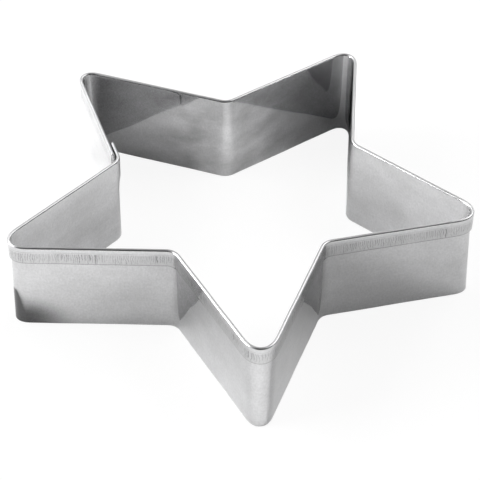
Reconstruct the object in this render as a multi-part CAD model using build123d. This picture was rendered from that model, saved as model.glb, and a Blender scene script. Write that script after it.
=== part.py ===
from build123d import *
import os

# A star-shaped cookie cutter: one strip of thin stainless steel, its top edge folded
# outward into a hem, bent round ten corners and lapped and spot welded at one of them.
# Millimetres, +Z up. The cutting edge stands on z = 0 and the front tip points to -Y.

# The strip
wall_height = 20.0
sheet = 0.3

# The hem folded outward along the top edge, and the slit left inside the fold
hem_height = 3.9
hem_gap = 0.1

# The star: its sharp corners before bending, and its bends, at the middle of the sheet
arm_count = 5
tip_reach = 49.4
notch_reach = 23.9
tip_bend = 2.25
notch_bend = 3.0

# Corners count on counter-clockwise from 0, the seam's notch. The others are bent a little
# out of true: how far each strays outward and counter-clockwise, as shares of tip_reach.
front_tip = 3
stray_shares = {
    1: (0.005, -0.010),
    2: (-0.008, 0.001),
    3: (-0.003, -0.016),
    5: (-0.011, -0.003),
    6: (0.022, 0.014),
    7: (0.0, -0.004),
    8: (-0.004, -0.007),
    9: (-0.031, 0.039),
}

# The stiff hem takes the tips' bends unevenly: each tip's bend at the rim, as a share of its
# bend at the cutting edge
rim_bend_shares = {1: 1.13, 3: 1.24, 5: 1.27, 7: 1.04, 9: 0.89}

# The lap seam in one notch: the strip's first end turns the notch and runs on as a tab inside
# the last wall, which is cut off just short of the notch's bend. The two hems stand a little
# further apart than the welded sheets below them.
lap_length = 3.6
lap_gap = 0.1
end_clearance = 0.25
rim_clearance = 0.1

# Under the hem the tab leans outward, so that the two sheets meet for the welds
lean_drop = 0.5
lean_rise = 3.0

# The spot welds between the lapped sheets
weld_count = 3
weld_diameter = 2.4
weld_pitch = 4.2


def star_corners():
    """The sharp corners, counter-clockwise from the seam's notch round to it again."""
    corner_count = 2 * arm_count
    spacing = 360 / corner_count
    corners = []
    for number in range(corner_count):
        reach = tip_reach if number % 2 else notch_reach
        outward, along = stray_shares.get(number, (0, 0))
        corner = Vector(reach + outward * tip_reach, along * tip_reach)
        corners.append(corner.rotate(Axis.Z, (number - front_tip) * spacing - 90))
    return corners + corners[:1]


def seam_directions(corners):
    """Where the outer wall's line meets the notch, outside it by the lap, and unit vectors
    along the outer wall, inward from it, and along the next wall."""
    notch = corners[0]
    star_wall = (corners[-2] - notch).normalized()
    lap_foot = notch + star_wall.rotate(Axis.Z, 90) * (sheet + lap_gap)
    outer_wall = (corners[-2] - lap_foot).normalized()
    inward = outer_wall.rotate(Axis.Z, -90)
    next_wall = (corners[1] - notch).normalized()
    return lap_foot, outer_wall, inward, next_wall


def tab_insets():
    """How far the tab's middle lies inside the outer wall's, at the welds and at the rim."""
    welded = sheet + lap_gap
    return welded, welded + rim_clearance + hem_gap + sheet


def tab_corner(corners, inset):
    """The tab's sharp corner: its line meets the next wall's line, at an inset."""
    lap_foot, outer_wall, inward, next_wall = seam_directions(corners)
    beyond_notch = inset - (corners[0] - lap_foot).dot(inward)
    return corners[0] + next_wall * (beyond_notch / next_wall.dot(inward))


def last_end_reach(corners):
    """How far along its own line the outer wall stops, short of the bend of the tab's rim."""
    lap_foot, outer_wall, inward, next_wall = seam_directions(corners)
    welded_inset, rim_inset = tab_insets()
    corner_reach = (tab_corner(corners, rim_inset) - lap_foot).dot(outer_wall)
    bend_share = (1 + next_wall.dot(outer_wall)) / -next_wall.dot(inward)
    return corner_reach + notch_bend * bend_share + end_clearance


def corner_bends(rim_part):
    """The ten corners' bends, at the cutting edge for 0 and at the rim for 1."""
    bends = []
    for number in range(2 * arm_count):
        if number % 2:
            rim_share = rim_bend_shares.get(number, 1)
            bends.append(tip_bend * (1 + (rim_share - 1) * rim_part))
        else:
            bends.append(notch_bend)
    return bends


def strip_path(corners, rim_part, inset):
    """The middle of the sheet, from the tab's free end, which lies inside the outer wall's
    middle by the inset, round the star to the outer wall's end."""
    lap_foot, outer_wall, inward, next_wall = seam_directions(corners)
    last_end = lap_foot + outer_wall * last_end_reach(corners)
    free_end = last_end + outer_wall * lap_length + inward * inset
    first_corner = tab_corner(corners, inset)
    bends = corner_bends(rim_part)
    return FilletPolyline(free_end, first_corner, *corners[1:-1], last_end, radius=bends)


def section_plane(path):
    """A plane across the start of a path, with x pointing out of the star and y up."""
    along = path % 0
    return Plane(origin=path @ 0, x_dir=along.rotate(Axis.Z, -90), z_dir=-along)


def hemmed_section(bottom):
    """The strip's cross-section above a height: wall, fold and hem as one bent sheet."""
    wall_face = sheet / 2
    fold_radius = sheet + hem_gap / 2
    fold_height = wall_height - fold_radius
    fold_middle = (wall_face + hem_gap / 2, fold_height)
    slit_top = (fold_middle[0], fold_height + hem_gap / 2)
    hem_bottom = wall_height - hem_height
    hem_back = wall_face + hem_gap
    hem_front = hem_back + sheet
    outline = Polyline((-wall_face, bottom), (-wall_face, fold_height))
    outline += ThreePointArc(
        (-wall_face, fold_height), (fold_middle[0], wall_height), (hem_front, fold_height)
    )
    outline += Polyline(
        (hem_front, fold_height), (hem_front, hem_bottom), (hem_back, hem_bottom), (hem_back, fold_height)
    )
    outline += ThreePointArc((hem_back, fold_height), slit_top, (wall_face, fold_height))
    outline += Polyline((wall_face, fold_height), (wall_face, bottom), (-wall_face, bottom))
    return make_face(outline)


def lean_heights():
    """Where the tab's lean starts and ends, under the hem."""
    lean_top = wall_height - hem_height - lean_drop
    return lean_top - lean_rise, lean_top


def hemmed_strip(corners):
    """The whole strip: the plain wall with the welded tab, the tab's lean, and the hemmed rim."""
    lean_foot, lean_top = lean_heights()
    welded_inset, rim_inset = tab_insets()
    edge_path = strip_path(corners, 0, welded_inset)
    foot_path = strip_path(corners, lean_foot / lean_top, welded_inset)
    rim_path = strip_path(corners, 1, rim_inset)
    edge_layer = trace(edge_path, sheet).face()
    foot_layer = Pos(0, 0, lean_foot) * trace(foot_path, sheet).face()
    top_layer = Pos(0, 0, lean_top) * trace(rim_path, sheet).face()
    wall = loft([edge_layer, foot_layer], ruled=True)
    lean = loft([foot_layer, top_layer], ruled=True)
    rim = sweep(section_plane(rim_path) * hemmed_section(lean_top), path=rim_path)
    return wall + lean + rim


def seam_welds(corners):
    """A column of round weld spots in the middle of the lap, each filling the gap between
    the two sheets."""
    lap_foot, outer_wall, inward, next_wall = seam_directions(corners)
    lean_foot, lean_top = lean_heights()
    lap_middle = last_end_reach(corners) + lap_length / 2
    lowest = lean_foot / 2 - weld_pitch * (weld_count - 1) / 2
    welds = []
    for spot in range(weld_count):
        foot = lap_foot + outer_wall * lap_middle + inward * (sheet / 2)
        centre = foot + Vector(0, 0, lowest + spot * weld_pitch)
        disc = Circle(weld_diameter / 2)
        welds.append(extrude(Plane(origin=centre, z_dir=inward) * disc, lap_gap))
    return welds


corners = star_corners()
cutter_strip = hemmed_strip(corners)

# The origin is the middle of the finished cutter's outline, on the cutting edge
middle = cutter_strip.bounding_box().center()
to_origin = Pos(-middle.X, -middle.Y, 0)
pieces = {"cutter_strip": [cutter_strip], "seam_welds": seam_welds(corners)}

os.makedirs("parts", exist_ok=True)
for name, solids in pieces.items():
    placed = [to_origin * solid for solid in solids]
    export_step(Compound(children=placed), f"parts/{name}.step")
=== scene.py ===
import math

import bpy
import numpy as np
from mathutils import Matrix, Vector


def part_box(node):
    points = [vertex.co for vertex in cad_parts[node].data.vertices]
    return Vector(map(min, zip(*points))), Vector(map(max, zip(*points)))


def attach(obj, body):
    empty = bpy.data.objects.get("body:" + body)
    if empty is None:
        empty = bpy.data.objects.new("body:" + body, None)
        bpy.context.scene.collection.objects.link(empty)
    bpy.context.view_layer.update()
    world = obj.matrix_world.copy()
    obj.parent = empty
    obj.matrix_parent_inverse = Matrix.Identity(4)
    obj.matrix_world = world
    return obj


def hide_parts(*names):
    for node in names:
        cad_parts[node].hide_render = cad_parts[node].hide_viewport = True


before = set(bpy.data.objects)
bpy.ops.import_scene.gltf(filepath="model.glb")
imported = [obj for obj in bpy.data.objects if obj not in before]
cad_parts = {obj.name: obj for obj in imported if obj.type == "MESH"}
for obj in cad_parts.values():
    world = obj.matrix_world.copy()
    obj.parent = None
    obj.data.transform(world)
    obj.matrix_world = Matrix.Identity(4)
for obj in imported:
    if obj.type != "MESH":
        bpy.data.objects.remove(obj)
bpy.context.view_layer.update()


# The strip is one long band of bright stainless steel sheet. Its top edge is folded outward
# and pressed flat as a hem, with crimp marks from the rollers, and the band is then bent
# round the star's ten corners. Its first end is a tab that laps inside the last wall.
MM = 0.001
strip_low, strip_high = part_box("cutter_strip")
wall_height = strip_high.z - strip_low.z
sheet = 0.3 * MM
hem_height = 3.9 * MM
hem_gap = 0.1 * MM

# Corners count on counter-clockwise from 0, the seam's notch, and the odd ones are the tips.
# Most are bent a little out of true: how far each strays outward and counter-clockwise, as
# shares of the tips' reach
arm_count = 5
front_tip = 3
tip_reach = 49.4 * MM
notch_reach = 23.9 * MM
stray_shares = {
    1: (0.005, -0.010),
    2: (-0.008, 0.001),
    3: (-0.003, -0.016),
    5: (-0.011, -0.003),
    6: (0.022, 0.014),
    7: (0.0, -0.004),
    8: (-0.004, -0.007),
    9: (-0.031, 0.039),
}

# The bends' radii, the tips' bends at the rim as shares of those at the cutting edge, and how
# gently a bend starts and ends: 0 is an arc
tip_bend = 2.25 * MM
notch_bend = 3.0 * MM
rim_bend_shares = {1: 1.13, 3: 1.24, 5: 1.27, 7: 1.04, 9: 0.89}
tip_easing = 1.0
notch_easing = 0.0

# The lap of the two ends, and the tab's lean outward under the hem
lap_length = 3.6 * MM
lap_gap = 0.1 * MM
end_clearance = 0.25 * MM
rim_clearance = 0.1 * MM
lean_drop = 0.5 * MM
lean_rise = 3.0 * MM
lean_top = wall_height - hem_height - lean_drop

# The sheet's slight waves: each one's share, its waves along and up the wall, and its start
wave_depth = 0.04 * MM
wave_fade = 5.0 * MM
waves = ((0.5, 4.1, 1.3, 0), (0.3, 8.3, -2.6, 1), (0.2, 13.7, 4.4, 2))

# How finely the strip is divided, along its length and round its section
station_step = 0.25 * MM
fewest_steps = 8
tip_bend_steps = 36
notch_bend_steps = 16
bend_fineness = 8
fold_steps = 10
edge_round = 0.05 * MM
inner_face_shares = (
    0.02, 0.1, 0.22, 0.34, 0.46, 0.58, 0.7, 0.76, 0.79, 0.82, 0.85, 0.88, 0.91, 0.94, 0.965
)
hem_face_shares = (0.08, 0.2, 0.32, 0.44, 0.56, 0.68, 0.8, 0.92)
outer_face_shares = (0.79, 0.76, 0.7, 0.58, 0.46, 0.34, 0.22, 0.1, 0.02)


def star_corners():
    """The star's sharp corners, counter-clockwise from the seam's notch round to it again."""
    corners = []
    for number in range(2 * arm_count):
        reach = tip_reach if number % 2 else notch_reach
        outward, along = stray_shares.get(number, (0, 0))
        turn = math.radians((number - front_tip) * 180 / arm_count - 90)
        outward_way = np.array([math.cos(turn), math.sin(turn)])
        along_way = np.array([-math.sin(turn), math.cos(turn)])
        corners.append(outward_way * (reach + outward * tip_reach) + along_way * along * tip_reach)
    return corners + corners[:1]


def unit(way):
    return way / np.hypot(*way)


def to_the_right(way):
    """The direction to the right of a way: outward, on a line that runs counter-clockwise."""
    return np.array([way[1], -way[0]])


def smooth(share):
    """Rises gently from 0 to 1 as a share does."""
    share = np.clip(share, 0, 1)
    return share * share * (3 - 2 * share)


def corner_bend(number, height):
    """A corner's bend at a height: the stiff hem takes the tips' bends unevenly."""
    if number % 2 == 0:
        return notch_bend
    return tip_bend * (1 + (rim_bend_shares[number] - 1) * min(height / lean_top, 1))


def tab_inset(height):
    """How far the tab's middle lies inside the last wall's: it leans out under the hem."""
    lean = smooth((height - (lean_top - lean_rise)) / lean_rise)
    return sheet + lap_gap + (rim_clearance + hem_gap + sheet) * lean


def seam_points(height):
    """The tab's free end, its sharp corner, and the last wall's end, at a height."""
    corners = star_corners()
    star_wall = unit(corners[-2] - corners[0])
    lap_foot = corners[0] - to_the_right(star_wall) * (sheet + lap_gap)
    outer_wall = unit(corners[-2] - lap_foot)
    inward = to_the_right(outer_wall)
    next_wall = unit(corners[1] - corners[0])
    tab_corners = []
    for inset in (tab_inset(height), tab_inset(wall_height)):
        beyond_notch = inset - (corners[0] - lap_foot).dot(inward)
        tab_corners.append(corners[0] + next_wall * beyond_notch / next_wall.dot(inward))
    bend_share = (1 + next_wall.dot(outer_wall)) / -next_wall.dot(inward)
    corner_reach = (tab_corners[1] - lap_foot).dot(outer_wall)
    last_end = lap_foot + outer_wall * (corner_reach + notch_bend * bend_share + end_clearance)
    free_end = last_end + outer_wall * lap_length + inward * tab_inset(height)
    return free_end, tab_corners[0], last_end


def bend_course(turn, radius, steps, easing):
    """A bend as the sheet takes it, tightest in its middle and easing off to both sides, no
    further out than an arc: its reach from the sharp corner, and its places and headings."""
    shares = np.linspace(-1, 1, steps * bend_fineness + 1)
    eased_share = np.sign(shares) * (1 - (1 - abs(shares)) ** (1 + easing))
    headings = turn * (1 + eased_share) / 2
    middles = (headings[1:] + headings[:-1]) / 2
    steps_taken = np.column_stack([np.cos(middles), np.sin(middles)])
    places = np.vstack([[0, 0], np.cumsum(steps_taken, axis=0)])
    corner_reach = places[-1, 1] / math.sin(turn)
    corner_gap = np.hypot(*(places[len(places) // 2] - [corner_reach, 0]))
    scale = radius * (1 / math.cos(turn / 2) - 1) / corner_gap
    return corner_reach * scale, places[::bend_fineness] * scale, headings[::bend_fineness]


def strip_line(height):
    """The strip's middle line at a height, from the tab to the last end: places and outwards."""
    free_end, tab_corner, last_end = seam_points(height)
    points = [free_end, tab_corner] + star_corners()[1:-1] + [last_end]
    places = []
    outwards = []
    start = free_end
    for number in range(1, len(points)):
        before = unit(points[number] - points[number - 1])
        is_last = number == len(points) - 1
        leg_end = last_end
        if not is_last:
            after = unit(points[number + 1] - points[number])
            turn = math.atan2(before[0] * after[1] - before[1] * after[0], before.dot(after))
            bend_steps = notch_bend_steps if number % 2 else tip_bend_steps
            easing = notch_easing if number % 2 else tip_easing
            radius = corner_bend(number - 1, height)
            corner_reach, bend_places, headings = bend_course(turn, radius, bend_steps, easing)
            leg_end = points[number] - before * corner_reach
        steps = leg_steps[number - 1]
        for step in range(steps + is_last):
            places.append(start + (leg_end - start) * step / steps)
            outwards.append(to_the_right(before))
        if not is_last:
            left = -to_the_right(before)
            for (forward, aside), heading in zip(bend_places[:-1], headings[:-1]):
                places.append(leg_end + before * forward + left * aside)
                outwards.append(left * -math.cos(heading) + before * math.sin(heading))
            start = points[number] + after * corner_reach
    return np.array(places), np.array(outwards)


def hem_section():
    """The strip's cross-section as a loop: how far out of mid-sheet and how high."""
    half = sheet / 2
    fold_radius = sheet + hem_gap / 2
    fold_height = wall_height - fold_radius
    hem_bottom = wall_height - hem_height
    hem_back = half + hem_gap
    hem_front = hem_back + sheet
    corner = edge_round * (1 - math.sqrt(0.5))
    loop = [(-half + edge_round, 0), (-half + corner, corner), (-half, edge_round)]
    loop += [(-half, share * wall_height) for share in inner_face_shares]
    for step in range(fold_steps + 1):
        turn = math.pi * (1 - step / fold_steps)
        loop.append((
            half + hem_gap / 2 + fold_radius * math.cos(turn),
            fold_height + fold_radius * math.sin(turn),
        ))
    for share in hem_face_shares:
        loop.append((hem_front, fold_height - share * (fold_height - hem_bottom)))
    loop += [
        (hem_front, hem_bottom + edge_round),
        (hem_front - corner, hem_bottom + corner),
        (hem_front - edge_round, hem_bottom),
        (hem_back + edge_round, hem_bottom),
        (hem_back, hem_bottom + edge_round),
        (hem_back, fold_height),
        (half + hem_gap / 2, fold_height + hem_gap / 2),
        (half, fold_height),
        (half, hem_bottom + edge_round),
    ]
    loop += [(half, share * wall_height) for share in outer_face_shares]
    loop += [(half, edge_round), (half - corner, corner), (half - edge_round, 0)]
    return loop


def sheet_waves(height):
    """How far the sheet wanders out of true at each station: gently, and nowhere at a bend."""
    clear_way = np.minimum(way_along[-1] - way_along - lap_length, wave_fade)
    for bend_start, bend_end in bend_ends:
        off_bend = np.maximum(bend_start - way_along, way_along - bend_end)
        clear_way = np.minimum(clear_way, off_bend)
    clear_way[way_along < bend_ends[0][1]] = 0
    wander = 0
    for share, waves_along, waves_up, start in waves:
        turned = waves_along * way_along / wall_height + waves_up * height / wall_height + start
        wander = wander + share * np.sin(turned)
    return wave_depth * wander * smooth(clear_way / wave_fade)


# The straight runs between the corners, from the tab's end to the last end
corners = star_corners()
leg_lengths = [lap_length] + [np.hypot(*(b - a)) for a, b in zip(corners, corners[1:])]
leg_steps = [max(fewest_steps, round(length / station_step)) for length in leg_lengths]
mid_places = strip_line(wall_height / 2)[0]
way_along = np.concatenate([[0], np.cumsum(np.hypot(*np.diff(mid_places, axis=0).T))])

# Where each bend starts and ends along the strip, from the seam's notch round to the last tip
bend_ends = []
station = 0
for number, steps in enumerate(leg_steps[:-1]):
    bend_steps = tip_bend_steps if number % 2 else notch_bend_steps
    station += steps
    bend_ends.append((way_along[station], way_along[station + bend_steps]))
    station += bend_steps

section = hem_section()
rows = []
for out, height in section:
    places, outwards = strip_line(height)
    stands_out = (out + sheet_waves(height))[:, None]
    rows.append(np.column_stack([places + outwards * stands_out, np.full(len(places), height)]))
grid = np.array(rows)
row_count, station_count = grid.shape[:2]

# The star's middle is not the outline box's middle, so the strip is brought to the CAD's box
plan_middle = (grid[:, :, :2].max((0, 1)) + grid[:, :, :2].min((0, 1))) / 2
cad_middle = np.array([strip_low.x + strip_high.x, strip_low.y + strip_high.y]) / 2
star_middle = cad_middle - plan_middle
grid[:, :, :2] += star_middle
grid[:, :, 2] += strip_low.z

faces = []
for row in range(row_count):
    next_row = (row + 1) % row_count
    for station in range(station_count - 1):
        faces.append((
            row * station_count + station,
            row * station_count + station + 1,
            next_row * station_count + station + 1,
            next_row * station_count + station,
        ))
faces.append([row * station_count for row in range(row_count)])
faces.append([row * station_count + station_count - 1 for row in reversed(range(row_count))])
strip_mesh = bpy.data.meshes.new("strip")
strip_mesh.from_pydata(grid.reshape(-1, 3).tolist(), [], faces)
strip_mesh.validate()
strip_mesh.polygons.foreach_set("use_smooth", [True] * len(strip_mesh.polygons))
strip_mesh.polygons[-1].use_smooth = False
strip_mesh.polygons[-2].use_smooth = False
strip = bpy.data.objects.new("hemmed_strip", strip_mesh)
bpy.context.scene.collection.objects.link(strip)

# The material knows each place by how far it is along the strip, how high, and how far out
place_on_strip = strip_mesh.attributes.new("place_on_strip", "FLOAT_VECTOR", "POINT")
on_strip = np.empty((row_count, station_count, 3), np.float32)
on_strip[:, :, 0] = way_along
on_strip[:, :, 1] = np.array(section)[:, 1, None]
on_strip[:, :, 2] = np.array(section)[:, 0, None]
place_on_strip.data.foreach_set("vector", on_strip.ravel())


def math_node(tree, operation, *values):
    """A math node on numbers and other nodes' outputs; gives its output."""
    node = tree.nodes.new("ShaderNodeMath")
    node.operation = operation
    for socket, value in zip(node.inputs, values):
        if isinstance(value, bpy.types.NodeSocket):
            tree.links.new(value, socket)
        else:
            socket.default_value = value
    return node.outputs[0]


def product(tree, first, *others):
    """Several values multiplied together."""
    for other in others:
        first = math_node(tree, "MULTIPLY", first, other)
    return first


def distance_from(tree, value, middle):
    """How far a value is from a middle one, to either side."""
    return math_node(tree, "ABSOLUTE", math_node(tree, "SUBTRACT", value, middle))


def eased(tree, value, low, high, at_low=0, at_high=1):
    """A value carried gently from one range to another, and held at its ends."""
    node = tree.nodes.new("ShaderNodeMapRange")
    node.interpolation_type = "SMOOTHSTEP"
    tree.links.new(value, node.inputs["Value"])
    node.inputs["From Min"].default_value = low
    node.inputs["From Max"].default_value = high
    node.inputs["To Min"].default_value = at_low
    node.inputs["To Max"].default_value = at_high
    return node.outputs["Result"]


def noise(tree, places, detail):
    """Fine uneven values around one half."""
    node = tree.nodes.new("ShaderNodeTexNoise")
    tree.links.new(places, node.inputs["Vector"])
    node.inputs["Scale"].default_value = 1
    node.inputs["Detail"].default_value = detail
    return node.outputs["Fac"]


def stretched(tree, along, height, out, width, reach):
    """Strip places scaled for a texture: cells a width wide along the strip, a reach high."""
    node = tree.nodes.new("ShaderNodeCombineXYZ")
    tree.links.new(math_node(tree, "DIVIDE", along, width), node.inputs["X"])
    tree.links.new(math_node(tree, "DIVIDE", height, reach), node.inputs["Y"])
    tree.links.new(math_node(tree, "DIVIDE", out, face_change), node.inputs["Z"])
    return node.outputs["Vector"]


steel_colour = (0.58, 0.58, 0.585)
steel_roughness = 0.045

# The two faces of the sheet have their own patterns, and marks end between them
face_change = 0.05 * MM
face_blend = 0.1 * MM
steel = bpy.data.materials.new("bright_rolled_steel")
steel.use_nodes = True
tree = steel.node_tree
steel_shader = tree.nodes["Principled BSDF"]
steel_shader.inputs["Metallic"].default_value = 1
place = tree.nodes.new("ShaderNodeAttribute")
place.attribute_name = "place_on_strip"
place_parts = tree.nodes.new("ShaderNodeSeparateXYZ")
tree.links.new(place.outputs["Vector"], place_parts.inputs["Vector"])
along, height, out = place_parts.outputs
outer_face = eased(tree, out, 0, face_blend)
inner_face = eased(tree, out, -face_blend, 0, 1, 0)

# Rolling leaves a faint upright grain, fine specks and mottling, and soft clouds in the gloss
grain_width = 0.12 * MM
grain_reach = 1.6 * MM
speck_width = 0.4 * MM
speck_reach = 0.5 * MM
mottle_size = 1.3 * MM
cloud_length = 7.0 * MM
cloud_reach = 4.9 * MM
grain = noise(tree, stretched(tree, along, height, out, grain_width, grain_reach), 3)
specks = noise(tree, stretched(tree, along, height, out, speck_width, speck_reach), 3)
mottle = noise(tree, stretched(tree, along, height, out, mottle_size, mottle_size), 4)
clouds = noise(tree, stretched(tree, along, height, out, cloud_length, cloud_reach), 3)

# The hem's crimp marks are upright creases, bowed, ragged at the foot and uneven along the
# strip. They stop short of the fold. Their darker colour is painted shade in the creases
crimp_pitch = 0.42 * MM
crimp_reach = 40.0 * MM
crimp_unevenness = 0.6
crimp_bow = 0.8 * MM
crimp_narrowest = 0.02
crimp_widest = 0.18
crimp_overrun = 1.1 * MM
crimp_raggedness = 3.2 * MM
crimp_fade = 0.4 * MM
crimp_top_drop = 1.5 * MM
crimp_clear_drop = 1.2 * MM
hem_face_start = 0.07 * MM
hem_face_end = 0.01 * MM
patch_length = 4.0 * MM
faint_patches = 0.3
full_patches = 0.6
faintest_crimp = 0.35
creases = tree.nodes.new("ShaderNodeTexVoronoi")
creases.feature = "DISTANCE_TO_EDGE"
creases.voronoi_dimensions = "2D"
creases.inputs["Scale"].default_value = 1
creases.inputs["Randomness"].default_value = crimp_unevenness
bow = math_node(tree, "SUBTRACT", mottle, 0.5)
bowed_along = math_node(tree, "MULTIPLY_ADD", bow, crimp_bow, along)
crease_places = stretched(tree, bowed_along, height, out, crimp_pitch, crimp_reach)
tree.links.new(crease_places, creases.inputs["Vector"])
crease = eased(tree, creases.outputs["Distance"], crimp_narrowest, crimp_widest, 1, 0)
ragged = noise(tree, stretched(tree, along, out, out, crimp_pitch, crimp_pitch), 1)
hem_foot = wall_height - hem_height
crease_foot = math_node(tree, "MULTIPLY_ADD", ragged, crimp_raggedness, hem_foot - crimp_overrun)
above_foot = eased(tree, math_node(tree, "SUBTRACT", height, crease_foot), 0, crimp_fade)
below_fold = eased(
    tree, height, wall_height - crimp_top_drop, wall_height - crimp_clear_drop, 1, 0
)
hem_face = 1.5 * sheet + hem_gap
on_hem = eased(tree, out, hem_face - hem_face_start, hem_face - hem_face_end)
pressed = product(tree, on_hem, below_fold)
patches = noise(tree, stretched(tree, along, out, out, patch_length, patch_length), 2)
patchy = eased(tree, patches, faint_patches, full_patches, faintest_crimp, 1)
crimp_and_painted_shade = product(tree, crease, above_foot, pressed, patchy)

# The roller's edge leaves a fine groove under the fold, darkened into a line as painted shade, and
# the hem's edge is a dark line of painted shade, standing in for its rounded cut edge mirroring
# shadow on the table
roller_line_drop = 1.1 * MM
roller_line_core = 0.03 * MM
roller_line_reach = 0.14 * MM
hem_edge_core = 0.14 * MM
hem_edge_reach = 0.24 * MM
off_roller_line = distance_from(tree, height, wall_height - roller_line_drop)
roller_groove_and_shade = eased(tree, off_roller_line, roller_line_core, roller_line_reach, 1, 0)
roller_groove_and_shade = product(tree, roller_groove_and_shade, on_hem, patchy)
painted_hem_edge_shade = eased(tree, height, hem_foot + hem_edge_core, hem_foot + hem_edge_reach, 1, 0)
painted_hem_edge_shade = product(tree, painted_hem_edge_shade, on_hem)

# A painted reflection: a soft dark patch low on the outside of the left tip, tall on its bend and
# lower past it, where the steel mirrors shadow on the table beside the tip, painted into the
# steel's colour
painted_reflection_corner = 1
painted_reflection_bend_reach = 2.0 * MM
painted_reflection_wall_reach = 14.0 * MM
painted_reflection_bend_top = 8.6 * MM
painted_reflection_wall_top = 5.8 * MM
painted_reflection_top_wander = 2.0 * MM
painted_reflection_crisp_reach = 0.8 * MM
painted_reflection_soft_reach = 2.8 * MM
painted_reflection_crispness = 0.8 * MM
painted_reflection_softness = 6.2 * MM
painted_reflection_far_end = -8.0 * MM
painted_reflection_far_full = -1.4 * MM
painted_reflection_near_full = 3.0 * MM
painted_reflection_near_end = 15.0 * MM
past_tip = math_node(tree, "SUBTRACT", along, sum(bend_ends[painted_reflection_corner]) / 2)
off_tip = math_node(tree, "ABSOLUTE", past_tip)
painted_reflection_top = eased(tree, off_tip, painted_reflection_bend_reach, painted_reflection_wall_reach, painted_reflection_bend_top, painted_reflection_wall_top)
cloudiness = math_node(tree, "SUBTRACT", clouds, 0.5)
painted_reflection_top = math_node(tree, "MULTIPLY_ADD", cloudiness, painted_reflection_top_wander, painted_reflection_top)
painted_reflection_fade = eased(
    tree, off_tip, painted_reflection_crisp_reach, painted_reflection_soft_reach, painted_reflection_crispness, painted_reflection_softness
)
below_top = math_node(tree, "SUBTRACT", painted_reflection_top, height)
painted_reflection = product(
    tree,
    eased(tree, math_node(tree, "DIVIDE", below_top, painted_reflection_fade), 0, 1),
    outer_face,
    eased(tree, past_tip, painted_reflection_far_end, painted_reflection_far_full),
    eased(tree, past_tip, painted_reflection_near_full, painted_reflection_near_end, 1, 0),
)

# Handling has left slanting smears inside the back arms, on both sides of their notch
smeared_corner = 8
smear_slant = 0.5
smear_length = 8.0 * MM
smear_reach = 5.0 * MM
smear_clear_way = 6.0 * MM
smear_last_way = 26.0 * MM
faintest_smear = 0.2
slanted = math_node(tree, "MULTIPLY_ADD", height, smear_slant, along)
smears = noise(tree, stretched(tree, slanted, height, out, smear_length, smear_reach), 3)
off_notch = distance_from(tree, along, sum(bend_ends[smeared_corner]) / 2)
smears = product(
    tree,
    math_node(tree, "SUBTRACT", smears, 0.5),
    eased(tree, off_notch, smear_clear_way, smear_last_way, 1, faintest_smear),
    inner_face,
)

# Each spot weld shows as a faint, dull, round dimple, on the tab and on the last wall
weld_count = 3
weld_pitch = 4.2 * MM
weld_lowest = 2.1 * MM
dimple_floor = 0.72 * MM
dimple_reach = 1.2 * MM
strip_middle = way_along[-1] / 2
off_weld = distance_from(tree, along, strip_middle)
off_weld = math_node(tree, "SUBTRACT", off_weld, strip_middle - lap_length / 2)
up_weld = math_node(tree, "SUBTRACT", math_node(tree, "MODULO", height, weld_pitch), weld_lowest)
off_weld_squared = product(tree, off_weld, off_weld)
up_weld_squared = product(tree, up_weld, up_weld)
weld_spread = math_node(tree, "SQRT", math_node(tree, "ADD", off_weld_squared, up_weld_squared))
dimple = product(
    tree,
    eased(tree, weld_spread, dimple_floor, dimple_reach, 1, 0),
    math_node(tree, "LESS_THAN", height, weld_pitch * weld_count),
)

# The sheared edge along the bottom is duller than the rolled faces, and so is the fold's crown.
# The crown's colour is also darkened: painted shade that tones down the lamps' reflections on it
sheared_core = 0.02 * MM
sheared_reach = 0.08 * MM
crown_start = 0.3 * MM
crown_full = 0.1 * MM
sheared = eased(tree, height, sheared_core, sheared_reach, 1, 0)
crown_dullness_and_shade = eased(tree, height, wall_height - crown_start, wall_height - crown_full)

# How far the steel's tone wanders with each pattern, and how much each mark changes it
tone = 1
for pattern, depth in ((mottle, 0.14), (clouds, 0.28), (specks, 0.36), (grain, 0.2)):
    wandering = math_node(tree, "MULTIPLY_ADD", pattern, depth, 1 - depth / 2)
    tone = product(tree, tone, wandering)
mark_tones = (
    (smears, 1.2),
    # painted shade in the crimp creases
    (crimp_and_painted_shade, -0.5),
    # painted shade in the roller's groove
    (roller_groove_and_shade, -0.22),
    # painted shade along the hem's edge
    (painted_hem_edge_shade, -0.35),
    (pressed, -0.12),
    # painted shade on the fold's crown, toning down the lamps' reflections there
    (crown_dullness_and_shade, -0.4),
    # painted reflection of shadow on the table, low on the outside of the left tip
    (painted_reflection, -0.82),
    (dimple, -0.12),
)
for mark, change in mark_tones:
    tone = product(tree, tone, math_node(tree, "MULTIPLY_ADD", mark, change, 1))
steel_tint = tree.nodes.new("ShaderNodeVectorMath")
steel_tint.operation = "SCALE"
steel_tint.inputs[0].default_value = steel_colour
tree.links.new(tone, steel_tint.inputs["Scale"])
tree.links.new(steel_tint.outputs["Vector"], steel_shader.inputs["Base Color"])

# How much duller each pattern and mark makes it
dullness = steel_roughness
mark_dullness = (
    (mottle, 0.02),
    (clouds, 0.02),
    (crimp_and_painted_shade, 0.12),
    (painted_reflection, 0.15),
    (dimple, 0.12),
    (sheared, 0.2),
    (crown_dullness_and_shade, 0.3),
)
for mark, change in mark_dullness:
    dullness = math_node(tree, "MULTIPLY_ADD", mark, change, dullness)
tree.links.new(dullness, steel_shader.inputs["Roughness"])

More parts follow.
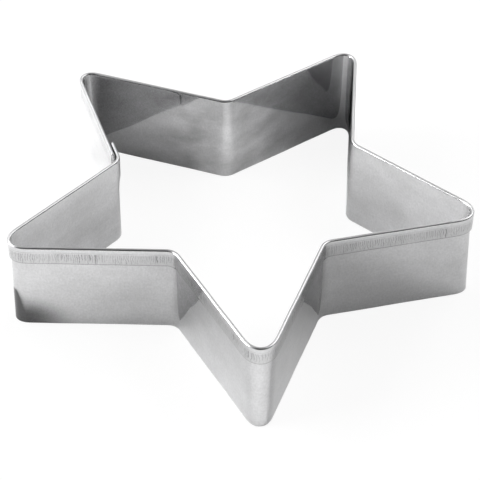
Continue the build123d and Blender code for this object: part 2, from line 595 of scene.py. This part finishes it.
# How high, in millimetres, each stands on the steel or how deep it lies in it
relief = 0
mark_relief = (
    (grain, 0.0004),
    (mottle, 0.0012),
    (clouds, 0.006),
    (crimp_and_painted_shade, -0.006),
    (roller_groove_and_shade, -0.006),
    (dimple, -0.02),
)
for mark, rise in mark_relief:
    relief = math_node(tree, "MULTIPLY_ADD", mark, rise, relief)
steel_bump = tree.nodes.new("ShaderNodeBump")
steel_bump.inputs["Strength"].default_value = 1
steel_bump.inputs["Distance"].default_value = MM
tree.links.new(relief, steel_bump.inputs["Height"])
tree.links.new(steel_bump.outputs["Normal"], steel_shader.inputs["Normal"])
strip_mesh.materials.append(steel)
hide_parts("cutter_strip")
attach(strip, "root")


# The spot welds join the tab to the last wall: between the two sheets each is a small round
# nugget of steel that melted and set again, duller than the sheet, with a faint heat tint.
nugget_colour = (0.48, 0.46, 0.43, 1)
tint_colour = (0.36, 0.34, 0.36, 1)
nugget_roughness = 0.35
nugget_roughening = 0.3
tint_start = 0.35
tint_full = 0.65
ripple_size = 0.25 * MM
ripple_height = 0.02 * MM
fused = bpy.data.materials.new("fused_weld_steel")
fused.use_nodes = True
tree = fused.node_tree
fused_shader = tree.nodes["Principled BSDF"]
fused_shader.inputs["Metallic"].default_value = 1
fused_places = tree.nodes.new("ShaderNodeTexCoord").outputs["Object"]
in_ripples = tree.nodes.new("ShaderNodeVectorMath")
in_ripples.operation = "SCALE"
in_ripples.inputs["Scale"].default_value = 1 / ripple_size
tree.links.new(fused_places, in_ripples.inputs[0])
ripples = noise(tree, in_ripples.outputs["Vector"], 4)
heat_tint = tree.nodes.new("ShaderNodeMix")
heat_tint.data_type = "RGBA"
heat_tint.inputs["A"].default_value = nugget_colour
heat_tint.inputs["B"].default_value = tint_colour
tree.links.new(eased(tree, ripples, tint_start, tint_full), heat_tint.inputs["Factor"])
tree.links.new(heat_tint.outputs["Result"], fused_shader.inputs["Base Color"])
nugget_dullness = math_node(tree, "MULTIPLY_ADD", ripples, nugget_roughening, nugget_roughness)
tree.links.new(nugget_dullness, fused_shader.inputs["Roughness"])
fused_bump = tree.nodes.new("ShaderNodeBump")
fused_bump.inputs["Distance"].default_value = ripple_height
tree.links.new(ripples, fused_bump.inputs["Height"])
tree.links.new(fused_bump.outputs["Normal"], fused_shader.inputs["Normal"])
for place_of_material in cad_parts["seam_welds"].material_slots:
    place_of_material.material = fused


# The table is a wide sheet of plain white board. The camera sees it almost white, as in a
# studio with its background lit, and the metal sees its real light and shade.
table_side = 3.0
table_colour = (0.9, 0.9, 0.9, 1)
white_in_sight = 0.9
white_in_mirror = 0.02
bpy.ops.mesh.primitive_plane_add(size=table_side)
table = bpy.context.object
table.name = "white_table"
board = bpy.data.materials.new("white_board")
board.use_nodes = True
tree = board.node_tree
tree.nodes.clear()
board_out = tree.nodes.new("ShaderNodeOutputMaterial")
board_face = tree.nodes.new("ShaderNodeBsdfDiffuse")
board_face.inputs["Color"].default_value = table_colour
board_white = tree.nodes.new("ShaderNodeEmission")
board_white.inputs["Strength"].default_value = 1
board_sight = tree.nodes.new("ShaderNodeLightPath").outputs
mirrored = math_node(
    tree, "ADD", board_sight["Is Glossy Ray"], board_sight["Is Transmission Ray"]
)
white_share = math_node(
    tree,
    "MULTIPLY_ADD",
    board_sight["Is Camera Ray"],
    white_in_sight,
    product(tree, mirrored, white_in_mirror),
)
board_mix = tree.nodes.new("ShaderNodeMixShader")
tree.links.new(white_share, board_mix.inputs["Fac"])
tree.links.new(board_face.outputs["BSDF"], board_mix.inputs[1])
tree.links.new(board_white.outputs["Emission"], board_mix.inputs[2])
tree.links.new(board_mix.outputs["Shader"], board_out.inputs["Surface"])
table.data.materials.append(board)


# The studio: on the left a tall softbox with a low one under it, wide ones behind at the left
# and at the right, a small one high on the right, and a white backdrop behind a dim room.
lamp_distance = 0.9

# Each lamp's side and height in degrees, its width and height in metres, and its brightness
lamps = (
    ("left_softbox", 180, 27, 0.48, 0.75, 6.2),
    ("low_left_softbox", 180, 8, 0.55, 0.25, 21.0),
    ("back_left_softbox", 136, 42, 0.8, 0.42, 4.0),
    ("back_right_softbox", 26, 47, 0.95, 0.45, 4.2),
    ("high_right_softbox", -14, 57, 0.4, 0.36, 2.6),
)


def softbox(name, azimuth, elevation, width, height, brightness):
    """A soft rectangular lamp that points at the cutter from a side and a height in degrees."""
    lamp = bpy.data.lights.new(name, "AREA")
    lamp.shape = "RECTANGLE"
    lamp.size = width
    lamp.size_y = height
    lamp.energy = brightness * width * height * math.pi
    holder = bpy.data.objects.new(name, lamp)
    bpy.context.scene.collection.objects.link(holder)
    side = math.radians(azimuth)
    rise = math.radians(elevation)
    away = Vector((
        math.cos(rise) * math.cos(side), math.cos(rise) * math.sin(side), math.sin(rise)
    ))
    holder.location = away * lamp_distance
    holder.rotation_euler = (-away).to_track_quat("-Z", "Y").to_euler()


for lamp_values in lamps:
    softbox(*lamp_values)

room_brightness = 0.04
backdrop_brightness = 1.0
backdrop_top = 0.8
backdrop_end = 0.97
backdrop_turn = 0.3
world = bpy.data.worlds.new("dim_room")
bpy.context.scene.world = world
world.use_nodes = True
tree = world.node_tree
sight = tree.nodes.new("ShaderNodeLightPath").outputs
in_sight = math_node(tree, "ADD", sight["Is Camera Ray"], sight["Is Glossy Ray"])
in_sight = math_node(tree, "ADD", in_sight, sight["Is Transmission Ray"])
directions = tree.nodes.new("ShaderNodeTexCoord")
direction_parts = tree.nodes.new("ShaderNodeSeparateXYZ")
tree.links.new(directions.outputs["Generated"], direction_parts.inputs["Vector"])
backdrop = product(
    tree,
    eased(tree, direction_parts.outputs["Z"], backdrop_top, backdrop_end, backdrop_brightness, 0),
    eased(tree, direction_parts.outputs["Y"], 0, backdrop_turn),
)
room = math_node(tree, "MULTIPLY_ADD", in_sight, backdrop, room_brightness)
tree.links.new(room, tree.nodes["Background"].inputs["Strength"])
tree.nodes["Background"].inputs["Color"].default_value = (1, 1, 1, 1)


# The camera looks down at the cutter over its front tip, from a distance, with a long lens.
view_yaw = math.radians(-6.603)
view_elevation = math.radians(42.746)
view_roll = math.radians(0.706)
view_distance = 342.85 * MM
view_centre = np.array([0.965, 3.746]) * MM + star_middle
camera_data = bpy.data.cameras.new("camera")
camera_data.lens = 126.35
camera_data.sensor_width = 36
camera_data.clip_start = 0.01
camera = bpy.data.objects.new("camera", camera_data)
bpy.context.scene.collection.objects.link(camera)
back = Vector((
    math.sin(view_yaw) * math.cos(view_elevation),
    -math.cos(view_yaw) * math.cos(view_elevation),
    math.sin(view_elevation),
))
right = (-back).cross(Vector((0, 0, 1))).normalized()
up = right.cross(-back)
turned = camera.matrix_world.to_3x3()
turned.col[0] = right * math.cos(view_roll) + up * math.sin(view_roll)
turned.col[1] = up * math.cos(view_roll) - right * math.sin(view_roll)
turned.col[2] = back
camera.matrix_world = turned.to_4x4()
camera.location = Vector((view_centre[0], view_centre[1], 0)) + back * view_distance
bpy.context.scene.camera = camera
bpy.context.scene.view_settings.view_transform = "Standard"
